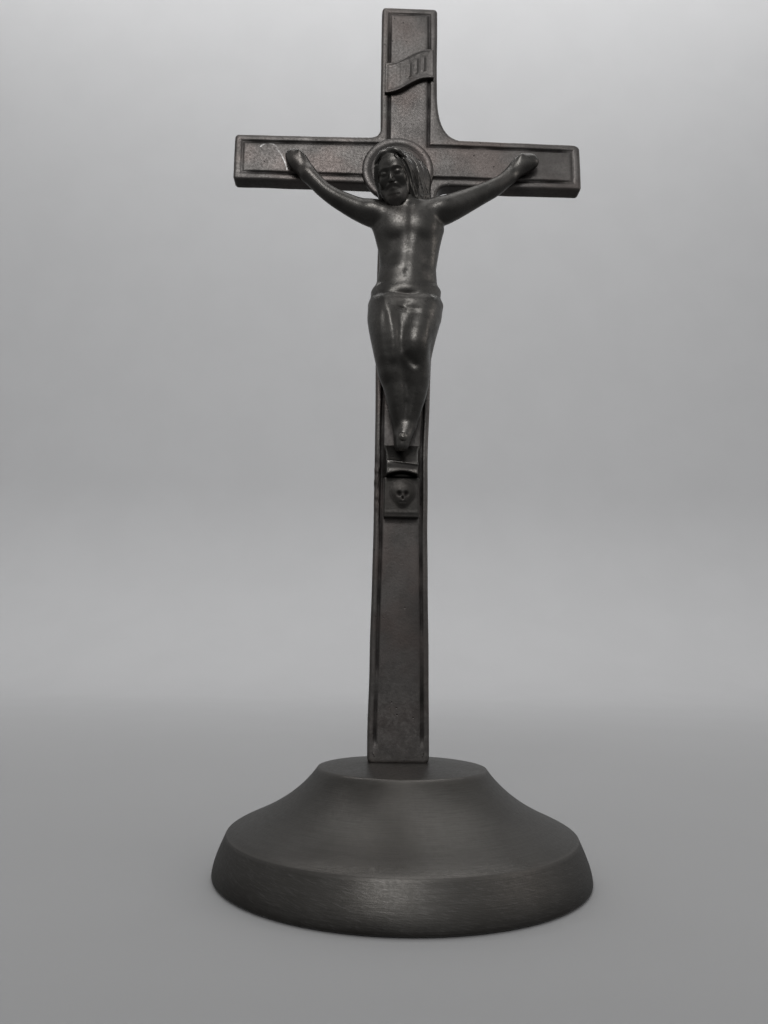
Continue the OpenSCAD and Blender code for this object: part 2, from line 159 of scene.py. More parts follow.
class Field:
    """A signed distance field on a box grid, in millimetres, negative inside."""

    FAR = 3.0          # distances are kept up to this
    AROUND = 1.2       # and worked out this far outside a shape that is joined on
    PER_SPAN = 3       # steps a limb's path takes between two given points
    PER_SLICE = 6      # and a stack between two given slices

    def __init__(self, lo, hi, step):
        self.step = step * FINE
        self.lo = np.array(lo, float)
        self.n = np.ceil((np.array(hi, float) - self.lo) / self.step).astype(int) + 1
        self.d = np.full(self.n, self.FAR, np.float32)

    def window(self, lo, hi):
        """The grid's slices between two corners, and its x, y and z there, ready to broadcast."""
        a = np.clip(np.floor((np.asarray(lo) - self.lo) / self.step).astype(int), 0, self.n)
        b = np.clip(np.ceil((np.asarray(hi) - self.lo) / self.step).astype(int) + 1, 0, self.n)
        cut = tuple(slice(i, j) for i, j in zip(a, b))
        grid = [(self.lo[k] + self.step * np.arange(a[k], b[k])).astype(np.float32) for k in range(3)]
        shape = [(-1, 1, 1), (1, -1, 1), (1, 1, -1)]
        return cut, [g.reshape(s) for g, s in zip(grid, shape)]

    def everywhere(self):
        return self.window(self.lo, self.lo + self.step * self.n)[1]

    def mix(self, fn, lo, hi, k=1.0, cut=False):
        """Joins (or cuts away) the shape fn within its box, from lo to hi, blended over k."""
        margin = k + 2 * self.step + (0 if cut else self.AROUND)
        window, grid = self.window(np.asarray(lo) - margin, np.asarray(hi) + margin)
        if 0 in self.d[window].shape:
            return
        a, b = self.d[window], fn(*grid)
        if cut:
            a = -a
        h = np.clip(0.5 + 0.5 * (a - b) / k, 0, 1)
        joined = a + (b - a) * h - k * h * (1 - h)
        self.d[window] = -joined if cut else joined

    def chain(self, points, k=1.0, cut=False, squash=1.0):
        """A tapering limb through (x, y, z, radius) points, joined as one smooth path."""
        p = np.asarray(points, float)
        if len(p) > 2:
            p = spline(p, self.PER_SPAN)
        p = p.astype(np.float32)
        r = p[:, 3].max()

        def limb(x, y, z):
            best = None
            for a, b in zip(p[:-1], p[1:]):
                v = b[:3] - a[:3]
                t = ((x - a[0]) * v[0] + (y - a[1]) * v[1] + (z - a[2]) * v[2]) / max(float(v @ v), 1e-6)
                t = np.clip(t, 0, 1)
                dx, dy, dz = x - a[0] - t * v[0], (y - a[1] - t * v[1]) / squash, z - a[2] - t * v[2]
                d = np.sqrt(dx * dx + dy * dy + dz * dz) - (a[3] + t * (b[3] - a[3]))
                best = d if best is None else np.minimum(best, d)
            return best

        self.mix(limb, p[:, :3].min(0) - r, p[:, :3].max(0) + r, k, cut)

    def egg(self, centre, size, k=1.0, cut=False, turn=(0, 0, 0)):
        """An ellipsoid, turned by degrees about x, y and z."""
        c, s = np.asarray(centre, np.float32), np.asarray(size, np.float32)
        m = np.eye(3)
        for axis, angle in zip("XYZ", turn):
            m = np.array(Matrix.Rotation(math.radians(angle), 3, axis)) @ m
        reach = np.sqrt(((m * s) ** 2).sum(1))

        def shape(x, y, z):
            q = [(m[0, i] * (x - c[0]) + m[1, i] * (y - c[1]) + m[2, i] * (z - c[2])).astype(np.float32)
                 for i in range(3)]
            k0 = np.sqrt(sum((q[i] / s[i]) ** 2 for i in range(3)))
            k1 = np.sqrt(sum((q[i] / s[i] ** 2) ** 2 for i in range(3))) + 1e-6
            return k0 * (k0 - 1) / k1

        self.mix(shape, c - reach, c + reach, k, cut)

    def stack(self, rows, k=1.0):
        """Elliptical slices: rows of (z, centre x, centre y, half width, half depth)."""
        rows = np.asarray(rows, float)
        rows = spline(rows[np.argsort(rows[:, 0])], self.PER_SLICE)
        wide = rows[:, 3].max() + 1
        deep = rows[:, 4].max() + 1
        lo = [rows[:, 1].min() - wide, rows[:, 2].min() - deep, rows[0, 0]]
        hi = [rows[:, 1].max() + wide, rows[:, 2].max() + deep, rows[-1, 0]]

        def shape(x, y, z):
            at = z.ravel()
            cx, cy, rx, ry = (np.interp(at, rows[:, 0], rows[:, i]).reshape(z.shape).astype(np.float32)
                              for i in (1, 2, 3, 4))
            px, py = x - cx, y - cy
            far = np.sqrt(px * px + py * py) + 1e-4
            rho = np.sqrt((px / rx) ** 2 + (py / ry) ** 2) + 1e-4
            side = far * (1 - 1 / rho)
            end = np.maximum(rows[0, 0] - z, z - rows[-1, 0])
            return np.maximum(side, end)

        self.mix(shape, lo, hi, k)

    def relief(self, strokes):
        """Raises (or sinks) strokes drawn in x and z: (points, width, height) each."""
        x = self.lo[0] + self.step * np.arange(self.n[0])
        z = self.lo[2] + self.step * np.arange(self.n[2])
        height = np.zeros((self.n[0], self.n[2]), np.float32)
        for points, width, rise in strokes:
            p = np.asarray(points, float)
            reach = 2.5 * width
            i0, i1 = np.searchsorted(x, [p[:, 0].min() - reach, p[:, 0].max() + reach])
            j0, j1 = np.searchsorted(z, [p[:, 1].min() - reach, p[:, 1].max() + reach])
            gx, gz = x[i0:i1, None], z[None, j0:j1]
            near = np.full((i1 - i0, j1 - j0), 1e6)
            for a, b in zip(p[:-1], p[1:]):
                v = b - a
                t = np.clip(((gx - a[0]) * v[0] + (gz - a[1]) * v[1]) / max(v @ v, 1e-6), 0, 1)
                near = np.minimum(near, (gx - a[0] - t * v[0]) ** 2 + (gz - a[1] - t * v[1]) ** 2)
            height[i0:i1, j0:j1] += rise * np.exp(-near / width ** 2)
        self.d -= height[:, None, :]

    def smooth(self, passes):
        for _ in range(passes):
            for axis in range(3):
                self.d = (0.25 * np.roll(self.d, 1, axis) + 0.5 * self.d + 0.25 * np.roll(self.d, -1, axis))

    def hollows(self, points, reach):
        """How far each surface point stands out of (+) or sinks into (-) its surroundings, over reach mm."""
        blurred = self.d.astype(np.float32)
        for _ in range(2):
            w = max(1, int(round(reach / self.step)))
            for axis in range(3):
                total = np.cumsum(np.pad(blurred, [(w + 1, w) if a == axis else (0, 0) for a in range(3)],
                                         mode="edge"), axis=axis, dtype=np.float64)
                head = np.take(total, np.arange(2 * w + 1, 2 * w + 1 + self.n[axis]), axis)
                tail = np.take(total, np.arange(0, self.n[axis]), axis)
                blurred = ((head - tail) / (2 * w + 1)).astype(np.float32)
        at = np.clip(np.round((points - self.lo) / self.step).astype(int), 0, self.n - 1)
        return blurred[at[:, 0], at[:, 1], at[:, 2]] / reach

    def mesh(self):
        """The surface's points and quads, closed at the grid's walls."""
        d = np.clip(self.d, -self.FAR, self.FAR)
        for axis in range(3):
            for end in (0, -1):
                index = [slice(None)] * 3
                index[axis] = end
                d[tuple(index)] = self.step
        grid = openvdb.FloatGrid(self.FAR)
        grid.copyFromArray(np.ascontiguousarray(d))
        points, quads = grid.convertToQuads(isovalue=0.0)
        return points.astype(float) * self.step + self.lo, quads


def meet(*shapes):
    """The part that is inside every shape."""
    return functools.reduce(np.maximum, shapes).astype(np.float32)


def set_layer(obj, name, values):
    """A point attribute that the materials read."""
    layer = obj.data.attributes.new(name, "FLOAT", "POINT")
    layer.data.foreach_set("value", np.asarray(values, np.float32))


def add_layer(obj, name, values):
    """Raise a point attribute already there by the values given, up to 1."""
    data = obj.data.attributes[name].data
    old = np.empty(len(data))
    data.foreach_get("value", old)
    data.foreach_set("value", np.clip(old + values, 0, 1))


# ---- materials

class Graph:
    """Short names for building the nodes of a material or a world."""

    def __init__(self, owner):
        owner.use_nodes = True
        self.owner, self.tree = owner, owner.node_tree
        self.tree.nodes.clear()
        self.coords = self.node("ShaderNodeTexCoord").outputs
        self.place = self.coords["Object"]

    def node(self, kind, **settings):
        n = self.tree.nodes.new(kind)
        for key, value in settings.items():
            setattr(n, key, value)
        return n

    def feed(self, socket, value):
        if isinstance(value, bpy.types.NodeSocket):
            self.tree.links.new(value, socket)
        else:
            socket.default_value = value

    def math(self, op, a, b=0.0, clamp=False):
        n = self.node("ShaderNodeMath", operation=op, use_clamp=clamp)
        for socket, value in zip(n.inputs, (a, b)):
            self.feed(socket, value)
        return n.outputs[0]

    def times(self, *factors):
        return functools.reduce(lambda a, b: self.math("MULTIPLY", a, b), factors)

    def noise(self, scale, detail=4.0, rough=0.5, vector=None, distortion=0.0):
        """Noise whose features are about 1/scale millimetres across."""
        n = self.node("ShaderNodeTexNoise")
        self.feed(n.inputs["Vector"], self.place if vector is None else vector)
        self.feed(n.inputs["Scale"], scale * PER_M if vector is None else 1.0)
        self.feed(n.inputs["Detail"], detail)
        self.feed(n.inputs["Roughness"], rough)
        self.feed(n.inputs["Distortion"], distortion)
        return n.outputs["Fac"]

    def spots(self, scale):
        """Distance to scattered points, about 1/scale millimetres apart."""
        n = self.node("ShaderNodeTexVoronoi")
        self.feed(n.inputs["Vector"], self.place)
        self.feed(n.inputs["Scale"], scale * PER_M)
        return n.outputs["Distance"]

    def ramp(self, value, low, high, out_low=0.0, out_high=1.0):
        """A smooth step from out_low to out_high as the value goes from low to high."""
        n = self.node("ShaderNodeMapRange", interpolation_type="SMOOTHSTEP")
        for socket, v in zip(n.inputs, (value, low, high, out_low, out_high)):
            self.feed(socket, v)
        return n.outputs[0]

    def mix(self, factor, a, b):
        n = self.node("ShaderNodeMix", data_type="RGBA")
        self.feed(n.inputs["Factor"], factor)
        self.feed(n.inputs[6], (*a, 1) if isinstance(a, tuple) else a)
        self.feed(n.inputs[7], (*b, 1) if isinstance(b, tuple) else b)
        return n.outputs[2]

    def layer(self, name):
        return self.node("ShaderNodeAttribute", attribute_name=name).outputs["Fac"]

    def xyz(self):
        """Object coordinates in millimetres."""
        n = self.node("ShaderNodeSeparateXYZ")
        self.feed(n.inputs[0], self.place)
        return [self.math("MULTIPLY", c, PER_M) for c in n.outputs]

    def vector(self, x, y, z):
        n = self.node("ShaderNodeCombineXYZ")
        for socket, v in zip(n.inputs, (x, y, z)):
            self.feed(socket, v)
        return n.outputs[0]

    def bump(self, height, depth_mm):
        n = self.node("ShaderNodeBump")
        self.feed(n.inputs["Height"], height)
        n.inputs["Distance"].default_value = depth_mm * MM
        n.inputs["Strength"].default_value = 1.0
        return n.outputs[0]

    def finish(self, color, roughness, normal, metallic=1.0, specular=0.5):
        shader = self.node("ShaderNodeBsdfPrincipled")
        self.feed(shader.inputs["Base Color"], color)
        self.feed(shader.inputs["Roughness"], roughness)
        self.feed(shader.inputs["Metallic"], metallic)
        shader.inputs["Specular IOR Level"].default_value = specular
        self.feed(shader.inputs["Normal"], normal)
        self.feed(self.node("ShaderNodeOutputMaterial").inputs["Surface"], shader.outputs[0])
        return self.owner


def arc_mark(g, cx, cz, r, z0, z1):
    """Mask of a thin scratch on the front: the stretch of a circle in x and z (mm) between two heights."""
    x, y, z = g.xyz()
    dx, dz = g.math("SUBTRACT", x, cx), g.math("SUBTRACT", z, cz)
    away = g.math("SUBTRACT", g.math("SQRT", g.math("ADD", g.times(dx, dx), g.times(dz, dz))), r)
    away = g.math("ADD", g.math("ABSOLUTE", away), g.times(g.noise(1.5, 3), 0.2))
    line = g.times(g.ramp(away, 0.12, 0.42, 1.0, 0.0), g.ramp(g.noise(0.5, 2), 0.4, 0.52, 0.25, 1.0))
    ends = g.times(g.ramp(z, z0, z0 + 0.5), g.ramp(z, z1 - 0.4, z1, 1.0, 0.0))
    front = g.times(g.ramp(dx, -3.0, -2.5), g.ramp(y, -1.9, -1.7, 1.0, 0.0))
    return g.times(line, ends, front)


def shade(color, factor):
    return tuple(factor * c for c in color)


def cast_pewter(name, light, dark, rough, pits=1.0, warm=0.0, rubbed_foot=0.0, scratches=()):
    """Cast metal: cloudy patina; darkened in the hollows by a point layer that holds patina and, on the figure,
    painted shade; rubbed bright on the edges ('wear').
    """
    g = Graph(bpy.data.materials.new(name))
    cloud = g.noise(0.11, 5, 0.6, distortion=0.4)
    fine = g.noise(1.3, 6, 0.65)
    grain = g.noise(6.0, 3, 0.6)
    dirt_and_shade, wear = g.layer("dirt_and_shade"), g.layer("wear")
    body = g.mix(g.ramp(cloud, 0.35, 0.65), shade(light, 0.72), shade(light, 1.08))
    body = g.mix(g.times(g.ramp(fine, 0.45, 0.7), 0.5), body, shade(light, 0.6))
    warm_patch = g.times(g.ramp(g.noise(0.06, 3, 0.5), 0.45, 0.65), warm)
    body = g.mix(warm_patch, body, (light[0] * 1.12, light[1] * 0.96, light[2] * 0.92))
    # Low on the stem the metal is rubbed in patches
    patchy = g.times(g.ramp(g.noise(0.35, 4, 0.7, distortion=0.6), 0.38, 0.62, 0.1, 1.0),
                     g.ramp(fine, 0.35, 0.65, 0.45, 1.0))
    low_rub = g.times(g.ramp(g.xyz()[2], 28.0, 60.0, 1.0, 0.0), patchy)
    body = g.mix(g.times(low_rub, rubbed_foot), body, shade(light, 2.0))
    body = g.mix(g.times(wear, 0.5), body, shade(light, 1.4))
    # Darkened by the hollows layer: patina in the engraved lines, and on the figure patina with painted shade in its
    # hollows
    sunk = g.math("MULTIPLY", dirt_and_shade, g.ramp(fine, 0.1, 0.55, 0.8, 1.0), clamp=True)
    color = g.mix(sunk, body, dark)
    pit = g.times(g.ramp(g.spots(0.55), 0.06, 0.16, 1.0, 0.0), g.ramp(g.noise(0.09, 2), 0.52, 0.66), pits)
    color = g.mix(g.times(pit, 0.8), color, dark)
    for arc in scratches:
        color = g.mix(arc_mark(g, *arc), color, (0.46, 0.45, 0.44))
    roughness = g.math("ADD", g.ramp(fine, 0.3, 0.7, rough - 0.06, rough + 0.1), g.times(sunk, 0.25), clamp=True)
    height = g.math("ADD", g.times(fine, 0.6), g.times(grain, 0.25))
    height = g.math("SUBTRACT", height, g.times(pit, 1.2))
    return g.finish(color, roughness, g.bump(height, 0.05 + 0.03 * pits))


def turned_pewter(name):
    """Turned metal: fine marks around the axis, with a slanting set on the band, and small nicks."""
    g = Graph(bpy.data.materials.new(name))
    x, y, height = g.xyz()
    radius = g.math("SQRT", g.math("ADD", g.times(x, x), g.times(y, y)))
    angle = g.math("ARCTAN2", x, g.times(y, -1.0))
    cos, sin = g.math("COSINE", angle), g.math("SINE", angle)

    def around(reach, along, density, detail, rough):
        """Noise drawn out around the axis; it changes quickly only along the last coordinate."""
        place = g.vector(g.times(cos, reach), g.times(sin, reach), g.times(along, density))
        return g.noise(1, detail, rough, place)

    # Across the marks: up the wall and in towards the axis
    across = g.math("SUBTRACT", height, g.times(radius, 0.8))
    marks = around(4.0, across, 4.5, 5, 0.7)
    coarse = around(2.0, across, 1.1, 3, 0.6)
    slant = g.math("ADD", height, g.times(angle, 9.0))
    rubbed = around(14.0, slant, 3.2, 5, 0.75)
    band = g.ramp(height, 9.4, 10.4, 1.0, 0.0)
    cloud = g.noise(0.05, 5, 0.6, distortion=0.3)
    fine = g.noise(1.1, 6, 0.65)
    color = g.mix(g.ramp(cloud, 0.3, 0.7), (0.1, 0.094, 0.087), (0.132, 0.126, 0.118))
    color = g.mix(g.ramp(marks, 0.35, 0.65, 0.0, 0.35), color, (0.066, 0.063, 0.058))
    streaks = g.times(g.ramp(rubbed, 0.5, 0.7), band, 0.5)
    color = g.mix(streaks, color, (0.2, 0.19, 0.183))
    nick = g.times(g.ramp(g.spots(0.12), 0.05, 0.09, 1.0, 0.0), g.ramp(g.noise(0.35, 2), 0.56, 0.6))
    color = g.mix(g.times(nick, 0.7), color, (0.36, 0.35, 0.34))
    color = g.mix(g.times(g.layer("wear"), 0.5), color, (0.2, 0.188, 0.176))
    color = g.mix(g.times(g.layer("dirt_and_shade"), 0.8), color, (0.03, 0.028, 0.026))
    rough = g.math("ADD", g.ramp(cloud, 0.3, 0.7, 0.36, 0.46), g.ramp(fine, 0.35, 0.7, -0.03, 0.06), clamp=True)
    relief = g.math("ADD", g.times(marks, 0.5), g.times(coarse, 0.35))
    relief = g.math("ADD", relief, g.times(rubbed, band, 0.5))
    relief = g.math("SUBTRACT", relief, g.times(nick, 1.5))
    return g.finish(color, rough, g.bump(relief, 0.045))


def plain_metal(name, color, rough):
    """Machined or drawn metal, blotched a little."""
    g = Graph(bpy.data.materials.new(name))
    fine = g.noise(2.0, 5, 0.6)
    blotch = g.noise(0.3, 4, 0.6)
    tone = g.mix(g.ramp(blotch, 0.35, 0.65), shade(color, 0.7), color)
    roughness = g.ramp(fine, 0.3, 0.7, rough - 0.06, rough + 0.1)
    return g.finish(tone, roughness, g.bump(fine, 0.03))


def wool_felt(name):
    """Dark felt, its fibres in the bump."""
    g = Graph(bpy.data.materials.new(name))
    fibre = g.noise(2.2, 6, 0.75, distortion=1.2)
    blotch = g.noise(0.15, 3, 0.5)
    tone = g.mix(fibre, (0.012, 0.014, 0.015), (0.05, 0.054, 0.057))
    tone = g.mix(g.ramp(blotch, 0.4, 0.6, 0.0, 0.3), tone, (0.06, 0.062, 0.06))
    return g.finish(tone, g.ramp(fibre, 0.3, 0.7, 0.85, 1.0), g.bump(fibre, 0.35), metallic=0.0, specular=0.2)


def painted_shade_surface(name, near, far):
    """Matt paint with painted shade: darker on the floor in front than on the wall behind, in place of light falling
    off.
    """
    g = Graph(bpy.data.materials.new(name))
    fine = g.noise(0.25, 5, 0.6)
    cloud = g.noise(0.012, 4, 0.5)
    _, y, z = g.xyz()
    # Painted shade: the colour grades from the front of the floor up to the wall
    away = g.ramp(g.math("ADD", y, z), -300.0, 1200.0)
    color = g.mix(away, near, far)
    tone = g.mix(g.ramp(cloud, 0.35, 0.65, 0.0, 0.04), color, (0.4, 0.4, 0.4))
    return g.finish(tone, 0.75, g.bump(fine, 0.05), metallic=0.0, specular=0.2)


def dress(obj, material, stands_for=None):
    """Material and slot; a new piece also takes the place of the CAD node it stands for."""
    obj.data.materials.clear()
    obj.data.materials.append(material)
    if stands_for is not None:
        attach(obj, "root")
        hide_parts(stands_for)


M_BASE = turned_pewter("turned_pewter")
M_CROSS = cast_pewter("cast_pewter", (0.155, 0.145, 0.138), (0.02, 0.018, 0.018), 0.4, 1.0, 0.5, 0.7,
                      [(-42.4, 203.1, 3.0, 204.5, 206.6), (-53.1, 193.6, 17.0, 197.0, 204.6)])
M_FIGURE = cast_pewter("figure_pewter", (0.135, 0.129, 0.121), (0.022, 0.02, 0.019), 0.32, 0.4, 0.2)
M_PLATE = plain_metal("plate_steel", (0.3, 0.3, 0.31), 0.4)
M_STEEL = plain_metal("steel", (0.5, 0.5, 0.52), 0.35)
M_PIN = plain_metal("pin_brass", (0.26, 0.245, 0.225), 0.34)
M_FELT = wool_felt("felt")


# ---- foot

def foot_profile():
    """Outer wall from the middle of the flat top down to the rim, then up inside."""
    top_r, top_z, edge_r, edge_z, rim_r, rim_z = 22.0, 25.6, 44.4, 10.2, 47.45, 0.42
    turn = np.array([edge_r - 4.4, edge_z + 2.3])
    flat = [(0.0, SEAT_Z), (9.5, SEAT_Z), (10.3, SEAT_Z - 0.05), (14.0, 26.4), (18.0, 26.0), (21.6, top_z + 0.03)]
    flare = bezier([(top_r, top_z - 0.1), (top_r + 4.5, top_z - 6.4), turn + (-7, 3), turn], 36)
    roll = bezier([turn, turn + (1.8, -0.8), turn + (3.4, -1.5), (edge_r - 0.05, edge_z + 0.05)], 10)[1:]
    band = bezier([(edge_r + 0.12, edge_z - 0.15), (45.8, 7.1), (rim_r, 3.6), (rim_r, 0.9)], 16)
    rim = [(rim_r - 0.08, 0.6), (rim_r - 0.3, rim_z)]
    seat_r, plate_z = 43.3, 2.4
    under = [(seat_r + 0.2, rim_z), (seat_r, rim_z + 0.2), (seat_r, plate_z)]
    inside = [(41.2, plate_z), (41.2, 7.0), (36.0, 9.4), (27.0, 13.6), (21.5, 17.0), (19.5, 22.2), (0.0, 22.2)]
    return np.vstack([flat, flare, roll, band, rim, under, inside]), len(flat), len(flare)


def build_foot():
    profile, n_flat, n_flare = foot_profile()
    segments = 288
    obj = lathe("foot_turned", profile, segments)
    at = np.repeat(np.arange(len(profile)), segments)
    co = points_of(obj)
    co += wobble(co, 0.05, 22.0)
    co[:, 2] = np.maximum(co[:, 2], 0.4)   # clear of the floor; the felt reaches lower
    move_points(obj, co)
    shoulder = n_flat + n_flare + 8        # the ring on the edge between flare and band
    wear = bell(at - shoulder, 1.0) + 0.6 * bell(at - n_flat, 1.2)
    # Darker on the flat top, close around the stem
    stem_half, near, top_from = 8, 14, 25
    off_stem = np.hypot(np.maximum(np.abs(co[:, 0]) - stem_half, 0), np.maximum(np.abs(co[:, 1]) - BACK_Y, 0))
    on_top = (np.hypot(co[:, 0], co[:, 1]) < near) & (co[:, 2] > top_from)
    dirt_and_shade = np.where(on_top, 0.5 * bell(off_stem, 1.2), 0)
    set_layer(obj, "wear", np.clip(wear, 0, 1))
    set_layer(obj, "dirt_and_shade", np.clip(dirt_and_shade, 0, 1))
    dress(obj, M_BASE, "base_shell")


# ---- cross

def waist(z):
    """How far each side of the stem draws in at height z."""
    middle, reach, deepest = 100.0, 75.0, 0.9
    off = np.minimum(np.abs(z - middle) / reach, 1)
    return deepest / 2 * (1 + np.cos(np.pi * off))


def cross_outline(d, sharp):
    """The cross's edge moved inwards by d, seen from the front: equal numbers of (x, z) points.

    Sharp outlines, those of the engraved line and the panel, have next to no rounding at the corners."""
    foot, top = 8.1, 8.8                   # half widths of the stem

    def half(z):
        return foot + (top - foot) * (z - STEM_FOOT) / (STEM_TOP - STEM_FOOT)

    def ahead(p, q):
        return (q - p) / np.linalg.norm(q - p)

    # Corner x, z, lengths of its rounding before and after, and whether it bends inwards
    corners = [(-half(STEM_FOOT), STEM_FOOT, 1.4, 1.4, False), (-half(BAR_LOW), BAR_LOW, 3.4, 3.4, True),
               (-BAR_HALF, BAR_LOW, 1.2, 1.2, False), (-BAR_HALF, BAR_TOP - 0.6, 1.2, 1.2, False),
               (-half(BAR_TOP), BAR_TOP, 3.0, 3.0, True), (-top, STEM_TOP, 1.6, 1.2, False),
               (top, STEM_TOP, 1.2, 1.2, False), (half(BAR_TOP), BAR_TOP, 15.0, 6.8, True),
               (BAR_HALF, BAR_TOP - 0.3, 2.4, 1.6, False), (BAR_HALF, BAR_LOW, 1.1, 1.1, False),
               (half(BAR_LOW), BAR_LOW, 3.4, 3.4, True), (half(STEM_FOOT), STEM_FOOT, 1.4, 1.4, False)]
    n = len(corners)
    moved = []
    for i in range(n):
        p0, p1, p2 = (np.array(corners[(i + j) % n][:2]) for j in (-1, 0, 1))
        e0, e1 = ahead(p0, p1), ahead(p1, p2)
        n0, n1 = np.array([e0[1], -e0[0]]), np.array([e1[1], -e1[0]])
        moved.append(p1 + d * (n0 + n1) / (1 + n0 @ n1))
    cuts = []
    for i in range(n):
        inwards = corners[i][4]
        if sharp:
            trims = [0.25 if inwards else 0.05] * 2
        else:
            trims = [r + d if inwards else max(r - d, 0.05) for r in corners[i][2:4]]
        p0, p1, p2 = moved[i - 1], moved[i], moved[(i + 1) % n]
        cuts.append((p1 - ahead(p0, p1) * trims[0], p1, p1 + ahead(p1, p2) * trims[1]))
    arc_steps, straight_step, full = 12, 1.1, 0.85
    out = []
    for i in range(n):
        a, m, b = cuts[i]
        t = np.linspace(0, 1, arc_steps)[:, None]
        pull = (1 - full) * (a + b) / 2 + full * m
        out.append((1 - t) ** 2 * a + 2 * t * (1 - t) * pull + t ** 2 * b)
        nxt = cuts[(i + 1) % n][0]
        length = np.linalg.norm(np.array(corners[(i + 1) % n][:2]) - corners[i][:2])
        steps = max(4, int(length / straight_step))
        t = np.linspace(0, 1, steps + 2)[1:-1, None]
        out.append(b + (nxt - b) * t)
    outline = np.vstack(out)
    # The stem's sides draw in; its middle follows in proportion
    x, z = outline.T
    outline[:, 0] -= np.sign(x) * waist(z) * np.clip(np.abs(x) / 4.5, 0, 1)
    return outline


def line_depth(x, z):
    """How deep the engraved line is at a place, of 1: it fades out at the foot and wears thin here and there."""
    stem_left, stem_right = (z < 180) & (x < 0), (z < 180) & (x >= 0)
    keep = np.clip((z - 31.0) / 1.2, 0, 1)
    keep *= np.where(stem_left, 1 - 0.75 * bell(z - 47, 3.5), 1)
    keep *= np.where(stem_right, 1 - 0.6 * bell(z - 58, 4.5), 1)
    keep *= 1 - 0.55 * np.clip((np.abs(x) - 46.5) / 2.5, 0, 1)
    keep *= 1 - 0.4 * np.clip((z - 246.0) / 3.0, 0, 1)
    return keep * (0.86 + 0.14 * np.sin(z * 0.53 + x * 0.37 + 2 * np.sin(z * 0.17 + x * 0.11)))


def build_cross():
    # Inset from the edge, y, and how much of the engraved line's depth applies
    back = [(1.2, BACK_Y, 0), (0.5, BACK_Y, 0), (0.14, 2.12, 0), (0.0, 1.7, 0), (0.0, 0.6, 0), (0.0, -0.6, 0)]
    edge = [(0.0, -1.45, 0), (0.06, -1.8, 0), (0.25, -2.08, 0), (0.6, -2.27, 0), (1.1, FACE_Y, 0)]
    line = [(1.7, -2.29, 0), (1.95, FACE_Y, 0.15), (2.15, FACE_Y, 0.55), (2.35, FACE_Y, 0.95),
            (2.55, FACE_Y, 1.0), (2.75, FACE_Y, 0.9), (2.95, FACE_Y, 0.45), (3.15, FACE_Y, 0.12),
            (3.4, FACE_Y, 0)]
    panel = [(4.2, FACE_Y, 0), (5.4, FACE_Y, 0), (6.4, FACE_Y, 0)]
    depth, most_forward = 0.5, -2.42
    rings, dirt_and_shade, wear = [], [], []
    for d, y, cut in back + edge + line + panel:
        x, z = cross_outline(d, d > 1.5).T
        sunk = cut * line_depth(x, z)
        ring = np.stack([x, y + depth * sunk, z], 1)
        # On the stem the line lies closer to the edge than on the arms
        nearer = 0.6 * np.clip((150 - z) / 30, 0, 1) * np.clip((d - 0.9) / 0.9, 0, 1)
        nearer *= np.clip((5.4 - d) / 2, 0, 1) * (z > STEM_FOOT + 2)
        ring[:, 0] += np.sign(x) * nearer
        # Hand-finished edges aren't quite straight
        ring += wobble(ring * (1, 0.2, 1), 0.10, 9.0) * (1, 0.35, 1)
        # A rough stretch of the left edge beside the footrest
        rough = bell(z - 101, 9.0) * (x < -5.5) * (d < 2) * (y < 0)
        ring[:, 0] += rough * (0.1 * np.sin(z * 1.9) + 0.06 * np.sin(z * 4.7 + 1))
        ring[:, 1] += rough * (0.12 * np.sin(z * 2.3 + 0.5) + 0.08 * np.sin(z * 5.1))
        ring[:, 1] = np.clip(ring[:, 1], most_forward, BACK_Y)
        ring[:, 0] += lean(ring[:, 2])
        rings.append(ring)
        blotch = 0.5 + 0.5 * np.sin(z * 0.35 + x * 0.9)
        dirt_and_shade.append(np.clip((0.7 + 0.15 * blotch) * sunk + 0.6 * rough * (np.sin(z * 1.7) > 0.4), 0, 1))
        edge_wear = bell(d - 0.35, 0.3) * (y < -1.7) * (0.4 + 0.6 * blotch)
        foot_wear = 0.6 * bell(z - 28, 9) * (y < 0)
        wear.append(edge_wear + foot_wear)
    obj = loft("cross_casting", rings)
    set_layer(obj, "dirt_and_shade", np.concatenate(dirt_and_shade))
    set_layer(obj, "wear", np.clip(np.concatenate(wear), 0, 1))
    # Tenon below, hidden in the foot
    x, y, low, high = 5.0, 2.25, 22.5, 26.7
    tenon = [np.array([(-x, -y, z), (x, -y, z), (x, y, z), (-x, y, z)]) for z in (low, high)]
    peg = loft("cross_tenon", tenon)
    for layer in ("dirt_and_shade", "wear"):
        set_layer(peg, layer, np.zeros(len(peg.data.vertices)))
    dress(peg, M_CROSS, "cross")
    dress(obj, M_CROSS, "cross")


# ---- figure

BODY_LO, BODY_HI = (-41.0, -15.5, 108.5), (43.5, -2.0, 206.0)


def smooth_strokes(strokes, per_span):
    """Strokes for Field.relief with more points on their bends."""
    return [(spline(np.array(p, float), per_span) if len(p) > 2 else p, w, h) for p, w, h in strokes]


